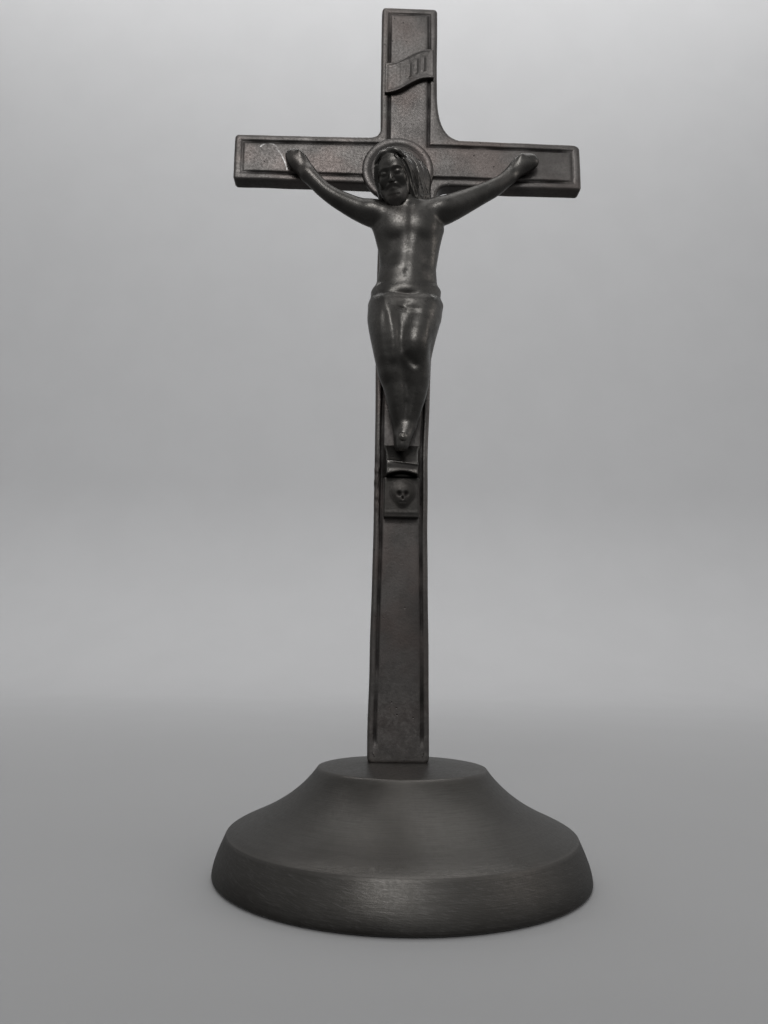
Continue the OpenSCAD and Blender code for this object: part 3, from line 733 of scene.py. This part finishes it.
def sculpt_body():
    f = Field(BODY_LO, BODY_HI, 0.26)
    # Trunk: waist, ribcage, shoulders
    f.stack([(148, -0.8, -6.2, 9.6, 4.8), (155, -0.6, -6, 9.4, 4.6), (160, -0.3, -5.9, 8.7, 4.4),
             (165, 0, -5.9, 8.2, 4.3), (169, 0.3, -6.1, 8.3, 4.6), (173, 0.1, -6.3, 8.8, 4.9),
             (177, -0.2, -6.4, 8.8, 4.9), (181, -0.6, -6.4, 8, 4.5), (184.6, -0.8, -6.3, 6.2, 3.7),
             (187.6, -1, -6.2, 4.2, 2.8)], 1.6)
    f.egg((-1, -8, 161.4), (5.4, 2.9, 5.6), 2.6)
    f.chain([(-0.4, -6.6, 182, 3.7), (-1.6, -7.6, 186.5, 3.5), (-3, -8.6, 190.5, 3.4)], 1.6)
    # Arms, from the wrists down to the shoulders
    arms = [
        [(-30, -4.8, 194.4, 2.5), (-27.5, -4.95, 191.6, 2.35), (-25.1, -5.1, 189.1, 2.35), (-21.8, -5.3, 186.6, 2.6),
         (-18.7, -5.6, 184.7, 2.9), (-14.9, -6, 182.6, 3.3), (-10.7, -6.3, 181, 3.8), (-6, -6.4, 180, 4)],
        [(30.1, -4.8, 195.6, 2.25), (27.8, -4.95, 193.4, 2.4), (25.5, -5.1, 191.6, 2.65), (22.6, -5.3, 189.8, 2.85),
         (19.7, -5.6, 188, 3.1), (13.7, -6, 184.6, 3.8), (9.2, -6.3, 182.3, 4.1), (5, -6.4, 181, 4.1)],
    ]
    for arm in arms:
        f.chain(arm, 1.2)
    # Hands: palm and fingers lying together, and a thumb
    f.chain([(-30, -4.8, 194.4, 2.4), (-31.8, -4.6, 197, 2.75), (-33.4, -4.3, 199, 3.1), (-34.6, -4.3, 200.4, 2.5)],
            1, squash=0.75)
    f.chain([(30.1, -4.8, 195.6, 2.2), (32.2, -4.6, 198.2, 2.6), (34.6, -4.3, 200.3, 3.1), (36.8, -4.3, 201.3, 2.6)],
            1, squash=0.75)
    for side, px, pz in ((-1, -33.4, 199.2), (1, 34.4, 200.4)):
        f.chain([(px - side * 1.4, -5.4, pz - 0.6, 0.9), (px - side * 1, -6, pz + 0.9, 0.85),
                 (px - side * 0.5, -6.1, pz + 2, 0.6)], 0.7)
    # Shoulders, chest, flanks
    for side in (-1, 1):
        f.egg((side * 10.2 - 0.6, -6.6, 182.2 + side * 0.6), (3.4, 3.2, 3), 1.6)
        f.egg((side * 3.7 + 0.2, -8.6, 176.4), (4.1, 2.2, 4), 2.4, turn=(0, side * -10, 0))
        f.chain([(side * 6.4, -5.2, 166, 1.5), (side * 7, -5.4, 171, 1.9), (side * 8.2, -6, 176.5, 2.3)], 1.6)
    # Legs, knees bent and ankles together
    left = [(-5.4, -6.4, 151, 5.3), (-5.2, -7.2, 145, 5.3), (-4.7, -8, 139.6, 4.6), (-4, -7.4, 133.4, 3.8),
            (-3, -6.8, 127, 3.4), (-2.2, -6.1, 121, 2.8), (-1.6, -5.4, 116.4, 2.2), (-1.4, -5, 113.8, 2)]
    right = [(4.2, -6.4, 151, 5.3), (3.2, -8, 145.6, 4.9), (1.8, -9.7, 139.4, 4.1), (2, -8.3, 134.2, 3.7),
             (2.4, -7, 128.4, 3.4), (1.5, -6.2, 122, 2.8), (0.4, -5.8, 117, 2.3)]
    f.chain(left, 1.6)
    f.chain(right, 1.6)
    # Feet, one over the other
    f.chain([(-1.4, -4.9, 114.8, 2), (-1.7, -4.9, 112.4, 1.8), (-1.8, -5.1, 110.9, 1.5)], 0.8, squash=0.9)
    f.chain([(0.3, -5.9, 116.6, 2.3), (-0.8, -6.8, 113.4, 2.15), (-1.1, -7, 110.9, 1.8)], 0.8, squash=0.85)
    body_lines = [
        ([(0.4, 181.5), (0.5, 176), (0.4, 171)], 1, -0.22), ([(0.2, 170), (-0.6, 160)], 0.8, -0.1),
        ([(-0.4, 182.6), (-4.5, 183.8), (-9, 184.2)], 0.9, 0.2),
        ([(0, 182.6), (4.5, 184.2), (8.5, 185.2)], 0.9, 0.2),
        ([(-0.4, 172.6), (-4.5, 171.6), (-7.4, 173.2)], 1.4, -0.1),
        ([(1, 172.6), (5, 171.8), (7.6, 173.6)], 1.4, -0.1),
        ([(-4, 170.4), (-4.5, 167.4), (-5, 164.4)], 1.9, -0.42),
        ([(4.2, 170.4), (4.7, 167.4), (5, 164.4)], 1.9, -0.4), ([(-0.9, 160.6), (-0.9, 160)], 0.7, -0.22),
        ([(-33.6, 200.9), (-35.6, 202.4)], 0.3, -0.16), ([(-34.4, 199.9), (-36.3, 201.3)], 0.3, -0.16),
        ([(36.4, 203.1), (38.6, 203.6)], 0.3, -0.16), ([(37, 201.8), (39.2, 202.2)], 0.3, -0.16),
        ([(1.8, 133.6), (2, 126), (0.9, 119)], 0.9, 0.2),
        ([(-1, 131), (-0.6, 125), (-0.6, 118)], 0.9, -0.3),
        ([(-1.2, 112.8), (-1.5, 110.6)], 0.25, -0.12), ([(-0.4, 112.6), (-0.5, 110.4)], 0.25, -0.12),
        ([(0.3, 112.8), (0.4, 110.8)], 0.25, -0.12),
    ]
    f.relief(smooth_strokes(body_lines, 4))
    # Cloth over the hips and thighs, running out over the calves
    g = Field(BODY_LO, BODY_HI, 0.26)
    g.stack([(124, -0.4, -5.8, 4.8, 2.6), (129, -0.4, -6, 6.1, 3.4), (133, -0.7, -6.2, 7.1, 4.1),
             (136.5, -1, -6.4, 7.9, 4.8), (141.6, -1.1, -6.4, 9, 5.3), (147, -1.1, -6.2, 10.1, 5.4),
             (151, -0.8, -6, 10.3, 5.2), (154.4, -0.6, -5.9, 10, 5), (157.4, -0.4, -5.8, 9.2, 4.8)], 0.8)
    # The bent knee pushes the cloth forward; the other thigh lies further back
    g.chain([(3.6, -7.3, 149.5, 4.5), (2.7, -8.6, 144.6, 4.3), (1.8, -10, 140.2, 3.8), (1.7, -10.3, 138, 3.5),
             (1.9, -9, 134.6, 3.4), (2.2, -7.6, 131, 3.2)], 2.2)
    g.chain([(-5.2, -7, 150, 4.8), (-5, -8, 144.6, 4.9), (-4.6, -8, 138, 4.4), (-4.2, -7.2, 132, 3.8)], 2.2)
    g.chain([(-9.3, -5.6, 156.4, 1.3), (-4.6, -9.2, 155.7, 1.6), (2.4, -9.4, 155.8, 1.6), (8.3, -5.8, 156.9, 1.3)],
            0.9)
    g.chain([(-10, -5.6, 152.4, 1.2), (-4.6, -9.7, 151.9, 1.35), (2.4, -9.8, 151.8, 1.35), (9, -6.2, 152.6, 1.2)],
            0.9)
    cloth_lines = [
        ([(-7, 152), (-6.2, 149), (-5.2, 145), (-4.3, 141), (-4, 134)], 0.9, 0.45),
        ([(-2.9, 146.6), (-2.3, 142), (-1.8, 137)], 1.1, -0.5),
        ([(-8, 149.6), (-8.4, 143), (-7.5, 136), (-5.8, 129)], 1, 0.28),
        ([(-6.6, 147), (-6.7, 142), (-5.9, 136)], 0.9, -0.25),
        ([(-0.8, 149.2), (2.6, 148.6), (6.6, 149)], 0.6, 0.25), ([(0.4, 147.4), (4.4, 147), (8, 147.6)], 0.7, -0.25),
        ([(4.9, 145), (5.2, 140), (4.7, 133), (4.2, 127)], 0.8, 0.3),
        ([(6.6, 147), (6.6, 141), (5.8, 135)], 0.7, -0.22),
        ([(-9.6, 154.3), (-4, 153.7), (3, 153.7), (8.7, 154.7)], 0.5, -0.5),
        ([(-1.4, 132.6), (-1.1, 128)], 0.9, -0.25),
    ]
    g.relief(smooth_strokes(cloth_lines, 4))
    g.egg((-2.5, -11.5, 148.8), (1.9, 1.8, 0.85), 0.5, cut=True, turn=(0, 8, 0))
    blend = 1.4
    h = np.clip(0.5 + 0.5 * (f.d - g.d) / blend, 0, 1)
    f.d = f.d + (g.d - f.d) * h - blend * h * (1 - h)
    # Hollow below the bent knee
    f.chain([(-0.6, -12.9, 134.6, 0.6), (0.6, -12.8, 133.4, 1), (1.8, -12.2, 132.4, 0.6)], 1.2, cut=True)
    f.smooth(4)
    return f


NIMBUS_FRONT = FACE_Y - 1.43


def seat_cut(f):
    """Flat at the back against the cross, and hollowed for the nimbus and the footrest's slope."""
    gap, slope_top, slope_low, per_z, per_y = 0.1, 112.5, 102.0, 0.63, 0.775
    x, y, z = f.everywhere()
    f.d = np.maximum(f.d, y - (FACE_Y - TOUCH))
    disc = np.sqrt((x - NIMBUS_X) ** 2 + (z - NIMBUS_Z) ** 2) - (NIMBUS_R + gap)
    f.d = np.maximum(f.d, -np.maximum(disc, NIMBUS_FRONT - y))
    slope = (z - slope_top) * per_z + (FACE_Y - y) * per_y
    f.d = np.maximum(f.d, -np.maximum(slope - TOUCH, slope_low - z))


HEAD_AT, HEAD_SIZE = np.array([-4.3, -10.0, 191.0]), 1.1
HEAD_TURN = np.array(Matrix.Rotation(math.radians(-20), 3, "Z") @ Matrix.Rotation(math.radians(-3), 3, "Y")
                     @ Matrix.Rotation(math.radians(27), 3, "X"))


def sculpt_head():
    """In the head's own frame: face towards -y, chin to crown about 12.6 mm, eyes half way."""
    f = Field((-9, -8, -12), (11.5, 8, 9), 0.12)

    def own(p):
        """A point (x, y, z, radius) of the cross's frame in the head's own."""
        return (*(((np.array(p[:3]) - HEAD_AT) @ HEAD_TURN) / HEAD_SIZE), p[3])

    # Skull, jaw and cheeks
    f.egg((0, 0.4, 1.2), (4.3, 5, 5), 0.8)
    f.stack([(-6.2, 0, -3, 1.3, 1), (-5.3, 0, -2.8, 2.2, 1.7), (-3.6, 0, -2.1, 3.1, 2.6), (-1.4, 0, -1.4, 3.7, 3.2),
             (1.2, 0, -0.9, 4, 3.5), (3.4, 0, -0.5, 3.9, 3.5), (5, 0, 0.2, 3, 3.3)], 1.2)
    for s in (-1, 1):
        f.egg((s * 2.3, -3.2, -1.4), (1.5, 1.3, 1.5), 1.2)
        f.egg((s * 1.7, -5.5, 0.5), (1.15, 1, 0.7), 0.9, cut=True)
        f.egg((s * 1.72, -3.95, 0.25), (1.02, 0.8, 0.66), 0.4)
        f.chain([(s * 0.6, -4.4, 1.35, 0.3), (s * 1.8, -4.3, 1.6, 0.3), (s * 3, -3.6, 1.2, 0.25)], 0.7)
        f.chain([(s * 0.95, -4.62, -0.02, 0.04), (s * 1.72, -4.78, -0.16, 0.05), (s * 2.5, -4.4, 0.02, 0.04)], 0.12,
                cut=True)
        f.egg((s * 0.46, -4.85, -1.75), (0.36, 0.42, 0.3), 0.3)
    f.chain([(0, -4.25, 1.3, 0.42), (0, -4.7, 0, 0.38), (0, -5.15, -1.2, 0.42), (0, -5.15, -1.6, 0.42)], 0.5)
    # Lips, closed
    f.chain([(-0.95, -4.3, -3.1, 0.2), (0, -4.62, -3, 0.28), (0.95, -4.3, -3.1, 0.2)], 0.4)
    f.chain([(-0.75, -4.25, -3.55, 0.22), (0, -4.55, -3.6, 0.32), (0.75, -4.25, -3.55, 0.22)], 0.4)
    f.chain([(-0.9, -4.62, -3.32, 0.03), (0, -4.98, -3.3, 0.04), (0.9, -4.62, -3.32, 0.03)], 0.15, cut=True)
    # Beard and moustache
    f.egg((0, -3, -5.7), (2.7, 2, 2.5), 1.2)
    for s in (-1, 1):
        f.chain([(s * 3.7, -1.4, -1.4, 0.7), (s * 3.1, -2.3, -3.8, 1.1), (s * 1.4, -3.5, -6.2, 1.3)], 1)
        f.chain([(s * 0.25, -4.75, -2.45, 0.2), (s * 1.1, -4.5, -2.65, 0.3), (s * 1.8, -3.9, -3.5, 0.25),
                 (s * 2.1, -3.5, -4.4, 0.2)], 0.45)
        f.chain([(s * 0.6, -3.9, -6.4, 0.9), (s * 0.5, -4, -8.2, 0.6)], 0.9)
    # Hair: close to the skull, parted in the middle, falling in waves to the shoulders
    f.egg((0, 1.2, 1.8), (4.9, 5.2, 5), 1.2)
    f.egg((2.2, 1, 1), (3.4, 3.2, 3.6), 1.5)
    locks = []
    for s in (-1, 1):
        for j, (a0, b0) in enumerate([(0, 0), (0.35, 0.6), (0.75, 1.25), (1.2, 1.9)]):
            locks.append([(s * 0.2, -2.6 + 2.1 * a0, 5.9 + 0.25 * a0, 0.6), (s * 1.9, -3.2 + 2.2 * b0, 5.5, 0.7),
                          (s * 3.5, -2.6 + 2.0 * b0, 3.7, 0.8), (s * (4.4 + 0.25 * j), -1.8 + 1.8 * b0, 0.2, 0.95),
                          (s * (4.1 + 0.3 * j), -1.2 + 1.6 * b0, -4.2, 1),
                          (s * (4.9 + 0.35 * j), -0.6 + 1.2 * b0, -7.4, 0.9),
                          (s * (5.3 + 0.3 * j), 0.5 + 0.9 * b0, -9.8, 0.5)])
    # A fuller fall of hair on the right, spread over the nimbus
    fall = [[(-0.6, -8.4, 198.2, 1.6), (1.2, -8.2, 195.8, 1.9), (2.3, -7.8, 192.8, 2.1), (2.8, -7.6, 189.6, 2),
             (3.6, -7.4, 186.6, 1.4)],
            [(0.8, -6.8, 198.2, 1.5), (3.2, -6.4, 195.6, 2), (4.3, -6.2, 192.2, 2.1), (4.4, -6.4, 188.8, 1.8),
             (5.4, -6.6, 186, 1)]]
    locks += [[own(p) for p in lock] for lock in fall]
    for p in locks:
        f.chain(p, 0.7)
    f.smooth(1)
    hair = []
    for s in (-1, 1):
        for j in range(10):
            t = j / 9
            hair.append(([(s * (1.6 + 1.6 * t), 5.2 - 0.2 * j), (s * (3.1 + 1.5 * t), 3), (s * (4.0 + 1.7 * t), -1),
                          (s * (3.7 + 2.3 * t), -4.6), (s * (4.5 + 1.9 * t), -8.6)],
                         0.19, -0.2 if j % 2 else 0.08))
    for j in range(5):
        t = 0.9 * j - 1.6
        hair.append(([(q[0] + t * 0.8, q[2] + 0.1 * t) for q in locks[-2]], 0.22, -0.22))
    for j in range(7):
        x = -1.9 + 0.63 * j
        hair.append(([(x * 0.8, -5.2), (x * 0.7, -6.6), (x * 0.4 + 0.2 * math.sin(3 * j), -8.2)], 0.2, -0.1))
    f.relief(smooth_strokes(hair, 3))
    f.smooth(1)
    return f


def to_world(points):
    """The head's own frame to the cross's."""
    return points * HEAD_SIZE @ HEAD_TURN.T + HEAD_AT


def figure_part(name, field, place=None, reach=1.2, shade_and_grime=1.8):
    """The field's surface as an object, darkened in what is hollow over reach mm (patina and painted shade together)
    and with wear on what stands out.
    """
    points, quads = field.mesh()
    curve = field.hollows(points, reach)
    if place is not None:
        points = place(points)
    obj = add_mesh(name, points, quads.tolist())
    curve = curve - np.median(curve)
    # Painted shade with patina: hollows are darkened as occlusion would shade them
    set_layer(obj, "dirt_and_shade", np.clip(-curve * shade_and_grime - 0.15, 0, 1))
    set_layer(obj, "wear", np.clip(curve * 1.8 - 0.25, 0, 1))
    return obj


def build_figure():
    body = sculpt_body()
    seat_cut(body)
    head = sculpt_head()
    # The same flat seat at the back, in the head's frame
    x, y, z = head.everywhere()
    world_y = HEAD_SIZE * (HEAD_TURN[1, 0] * x + HEAD_TURN[1, 1] * y + HEAD_TURN[1, 2] * z) + HEAD_AT[1]
    head.d = np.maximum(head.d, (world_y - NIMBUS_FRONT) / HEAD_SIZE)
    for piece in (figure_part("figure_body", body, shade_and_grime=1.1),
                  figure_part("figure_head", head, to_world, reach=0.7, shade_and_grime=0.7)):
        dress(piece, M_FIGURE, "corpus")


# ---- ornaments

def build_nimbus():
    r, steps = NIMBUS_R, 160
    profile = [(0, 0.85), (4, 0.85), (7.6, 0.82), (8.15, 0.72), (8.4, 0.8), (8.75, 1.0), (9.3, 1.12), (9.9, 1.14),
               (10.4, 1.04), (10.72, 0.8), (r, 0.5), (r, TOUCH), (0, TOUCH)]
    obj = lathe("nimbus_disc", profile, steps, (NIMBUS_X, FACE_Y, NIMBUS_Z), axis="y")
    # By the profile's points: patina in the groove inside the rim, wear on the rim
    at = np.repeat(np.arange(len(profile)), steps)
    set_layer(obj, "dirt_and_shade", np.where(at == 3, 0.7, np.where(at == 2, 0.25, 0)))
    set_layer(obj, "wear", np.where((at == 6) | (at == 7), 0.25, 0))
    dress(obj, M_CROSS, "nimbus")


def build_scroll():
    half_wide, middle_z = 7.6, 232.3
    f = Field((-9.0, -5.2, 221.5), (9.2, -2.0, 243.0), 0.13)
    x, y, z = f.everywhere()
    t = x / (half_wide + 0.1)
    wave = middle_z + 2.7 * t + 0.9 * np.sin(np.clip(t, -1.2, 1.2) * np.pi)
    half = 5.15 - 0.1 * t
    front = -3.55 - 0.35 * np.cos(t * 2.2) + 0.12 * np.sin(t * 5)
    v = (z - wave) / half
    # Raised rim, and three plain upright reeds on the right
    inside = np.maximum(np.abs(v), np.abs(t))
    sunk = 0.22 / (1 + np.exp((inside - 0.86) * 40))
    apart, reed_width, reed_height = 2.2, 0.42, 0.2
    off_reed = np.mod(x + apart / 2, apart) - apart / 2
    reeds = reed_height * bell(off_reed, reed_width) * (np.abs(v) < 0.5) * (t > -0.2) * (t < 0.66)
    f.d = meet(np.abs(z - wave) - half, np.abs(x) - half_wide, front + sunk - reeds - y, y - FACE_Y + TOUCH)
    f.smooth(2)
    dress(figure_part("scroll", f, reach=0.5), M_CROSS, "titulus")


def build_footrest():
    half_wide, deepest, arch_z, top_z = 4.3, 5.2, 102.5, 112.4
    f = Field((-7.0, -8.6, 100.0), (7.0, -2.0, 115.0), 0.13)
    x, y, z = f.everywhere()
    deep = FACE_Y - y
    flare = half_wide + 1.1 * np.exp(-deep / 1.1)
    slope = (z - top_z) * 0.63 + deep * 0.775
    arch = arch_z + 0.9 * np.cos(np.clip(x / 4.4, -1, 1) * np.pi / 2) * (deep > 1.5) - z
    f.d = meet(np.abs(x) - flare, slope, deep - deepest, arch, -deep)
    f.smooth(3)
    # A raised lip along the front
    f.relief([([(-4.4, 106.6), (0, 105.9), (4.2, 105.4)], 0.3, 0.2), ([(-3.4, 104.4), (3.4, 104.0)], 0.8, -0.12)])
    f.d = np.maximum(f.d, y - FACE_Y + TOUCH)
    obj = figure_part("footrest_bracket", f, leaning, reach=0.6, shade_and_grime=0.8)
    dress(obj, M_FIGURE, "footrest")


def build_skull_panel():
    half_wide, low_z, high_z = 4.85, 91.1, 102.45
    front = FACE_Y - 2.3
    f = Field((-6.2, -7.6, 89.5), (6.2, -2.0, 104.0), 0.12)
    x, y, z = f.everywhere()
    f.d = meet(np.abs(x) - half_wide, low_z - z, z - high_z, front - y)
    f.smooth(4)
    # A skull, worn nearly flat
    f.egg((0.3, front + 0.6, 98.4), (2.6, 1.15, 2.5), 1.4)
    f.egg((0.3, front + 0.5, 95.9), (1.5, 0.9, 1.5), 1.0)
    for s in (-1, 1):
        f.egg((0.3 + s * 1.0, front - 0.72, 97.7), (0.6, 0.5, 0.6), 0.5, cut=True)
    f.egg((0.3, front - 0.66, 96.5), (0.28, 0.38, 0.4), 0.3, cut=True)
    f.relief([([(-0.5, 95.4), (1.1, 95.4)], 0.2, -0.08), ([(-4.0, 92.6), (4.2, 92.6)], 0.5, 0.08)])
    f.smooth(1)
    f.d = np.maximum(f.d, y - FACE_Y + TOUCH)
    obj = figure_part("skull_relief", f, leaning, reach=0.6)
    # The panel's front is darker than the rest of the casting
    add_layer(obj, "dirt_and_shade", 0.42 * (points_of(obj)[:, 1] < FACE_Y - 1.6))
    dress(obj, M_FIGURE, "skull_panel")


def build_nail():
    at, seat = (-1.1, 0, 112.9), 6.3 - FACE_Y
    profile = [(0, seat + 0.85), (0.45, seat + 0.8), (0.85, seat + 0.6), (1.12, seat + 0.3), (1.25, seat),
               (1.2, seat - 0.12), (0.8, seat - 0.15), (0.8, FACE_Y), (0, FACE_Y)]
    obj = lathe("nail_dome", profile, 48, at, axis="y")
    dress(obj, M_PIN, "foot_nail")


def build_pins():
    """Rods from the back, their ends riveted over into low, uneven domes."""
    for node, x, z, r, deep in (("corpus_pin_left_hand", -33.4, 199.0, 1.0, 1.8),
                                ("corpus_pin_right_hand", 34.8, 199.8, 1.0, 1.8),
                                ("corpus_pin_back", 0.0, 174.4, 1.3, 4.0)):
        head = r + 1.0
        profile = [(0, deep - FACE_Y), (r, deep - FACE_Y), (r, 1 - BACK_Y), (head, -BACK_Y + 0.02),
                   (head - 0.05, -BACK_Y - 0.1), (head - 0.5, -BACK_Y - 0.2), (head * 0.4, -BACK_Y - 0.26),
                   (0, -BACK_Y - 0.27)]
        obj = lathe(node + "_rivet", profile, 40, (x + lean(z), 0, z), axis="y")
        co = points_of(obj)
        move_points(obj, co + wobble(co, 0.05, 1.6) * (co[:, 1:2] > BACK_Y))
        dress(obj, M_PIN, node)


def build_felt():
    r, t = 42.95, 1.15
    profile = [(0, t), (r - 0.5, t), (r, t - 0.3), (r + 0.05, 0.5), (r - 0.2, 0.05), (r - 0.8, 0.0), (0, 0.0)]
    obj = lathe("felt_disc", profile, 160)
    dress(obj, M_FELT, "felt_pad")


for build in (build_foot, build_cross, build_figure, build_nimbus, build_scroll, build_footrest, build_skull_panel,
              build_nail, build_pins, build_felt):
    build()

dress(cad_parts["base_plate"], M_PLATE)
for node in ("clamp_washer", "lock_washer", "fixing_screw"):
    dress(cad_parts[node], M_STEEL)


# ---- camera, floor and light

def build_stage():
    """A pale floor that sweeps up into a pale wall far behind."""
    depth, wide, bend, high = 0.75, 3.0, 0.35, 2.2
    line = [(-3.0, 0.0), (depth, 0.0)]
    line += [(depth + bend * math.sin(a), bend * (1 - math.cos(a))) for a in np.linspace(0.1, math.pi / 2, 14)]
    line += [(depth + bend, high)]
    points = [(s * wide, y, z) for y, z in line for s in (-1, 1)]
    faces = [(2 * i, 2 * i + 1, 2 * i + 3, 2 * i + 2) for i in range(len(line) - 1)]
    obj = add_mesh("sweep", np.array(points) / MM, faces)
    obj.data.materials.append(painted_shade_surface("pale_paint_painted_shade", (0.43, 0.43, 0.432), (0.73, 0.73, 0.736)))
    obj.visible_glossy = False


def area_light(name, place, target, size, watts, tint=(1, 1, 1)):
    """A rectangular light at a place (metres), aimed at a target."""
    data = bpy.data.lights.new(name, "AREA")
    data.shape = "RECTANGLE"
    data.size, data.size_y = size
    data.energy, data.color = watts, tint
    obj = bpy.data.objects.new(name, data)
    obj.location = place
    obj.rotation_euler = (Vector(target) - Vector(place)).to_track_quat("-Z", "Y").to_euler()
    bpy.context.scene.collection.objects.link(obj)


def build_light():
    area_light("key_soft", (-0.19, -1.18, 0.92), (0, 0, 0.13), (0.6, 0.45), 4.0)
    area_light("side_soft", (1.1, -0.35, 0.6), (0, 0, 0.1), (0.4, 0.4), 0.6, (1.0, 0.92, 0.87))
    area_light("top_soft", (0.1, -0.1, 1.5), (0, 0, 0.1), (1.0, 0.8), 2.5)
    area_light("wall_soft", (0.0, 0.65, 1.75), (0.0, 1.1, 0.95), (2.4, 0.3), 8)
    # A dim room: brightest in front above head height, darker overhead, behind the camera and below
    g = Graph(bpy.data.worlds.new("studio"))
    split = g.node("ShaderNodeSeparateXYZ")
    g.feed(split.inputs[0], g.coords["Generated"])
    x, _, z = split.outputs
    low, over = g.ramp(z, -0.3, 0.6, 0.11, 0.45), g.ramp(z, 0.4, 0.9, 1.0, 0.5)
    back = g.node("ShaderNodeBackground")
    g.feed(back.inputs["Color"], (0.98, 0.99, 1.0, 1))
    g.feed(back.inputs["Strength"], g.times(low, over, g.ramp(x, -0.8, 0.8, 0.8, 1.0)))
    g.feed(g.node("ShaderNodeOutputWorld").inputs["Surface"], back.outputs[0])
    bpy.context.scene.world = g.owner


def build_camera():
    """Low in front, looking up by about eleven degrees, as the photograph was taken."""
    place, pitch, yaw, roll = (-0.0117, -0.2055, 0.0539), 0.190, -0.029, 0.015
    turn = Matrix.Rotation(yaw, 3, "Z")
    ahead = turn @ Vector((0, math.cos(pitch), math.sin(pitch)))
    up0 = turn @ Vector((0, -math.sin(pitch), math.cos(pitch)))
    right0 = turn @ Vector((1, 0, 0))
    right = math.cos(roll) * right0 + math.sin(roll) * up0
    up = -math.sin(roll) * right0 + math.cos(roll) * up0
    data = bpy.data.cameras.new("camera")
    data.sensor_width = 36.0
    data.lens = 26.37
    data.clip_start = 0.01
    obj = bpy.data.objects.new("camera", data)
    obj.matrix_world = Matrix([(right[i], up[i], -ahead[i], place[i]) for i in range(3)] + [(0, 0, 0, 1)])
    bpy.context.scene.collection.objects.link(obj)
    bpy.context.scene.camera = obj


build_stage()
build_light()
build_camera()
bpy.context.scene.view_settings.view_transform = "Standard"
